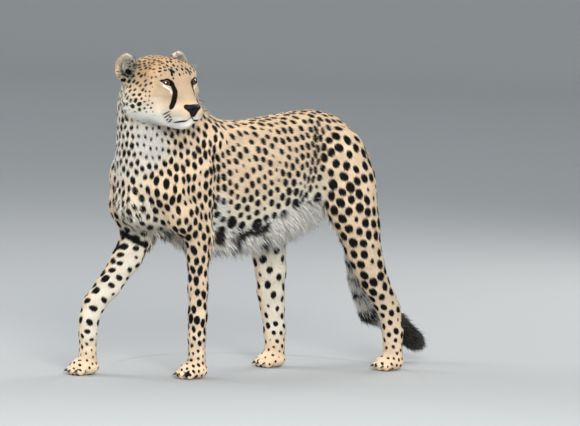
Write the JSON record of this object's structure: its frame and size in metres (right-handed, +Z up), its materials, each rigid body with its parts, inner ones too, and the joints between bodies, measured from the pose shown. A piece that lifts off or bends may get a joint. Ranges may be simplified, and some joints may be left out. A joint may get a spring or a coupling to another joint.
{
  "type": "standing cheetah model",
  "caption": "Life-size still cheetah standing in mid stride, looking back over its left shoulder, with a spotted coat and a tail hanging to one side.",
  "frame": {"origin": "centre of the bounding box, on the floor under the paws", "axes": "+Z up, -Y the way the body faces, +X its left side"},
  "size_m": [0.349, 1.2009, 0.9016],
  "materials": {
    "coat": "short fur, tan with black spots, cream below",
    "eye": "clear wet cornea over an amber-brown iris",
    "nose_leather": "fine pebbled black skin, also used for the claws"
  },
  "bodies": {
    "root": {"head": "coat", "ear_left": "coat", "ear_right": "coat", "eye_left": "eye", "eye_right": "eye", "nose": "nose_leather", "neck": "coat", "chest": "coat", "loins": "coat", "fore_left_upper_arm": "coat", "fore_left_forearm": "coat", "fore_left_paw": "coat", "fore_right_upper_arm": "coat", "fore_right_forearm": "coat", "fore_right_paw": "coat", "hind_left_thigh": "coat", "hind_left_shank": "coat", "hind_left_cannon": "coat", "hind_left_paw": "coat", "hind_right_thigh": "coat", "hind_right_shank": "coat", "hind_right_cannon": "coat", "hind_right_paw": "coat", "tail_root": "coat", "tail_middle": "coat", "tail_lower": "coat", "tail_tuft": "coat"}
  },
  "joints": []
}
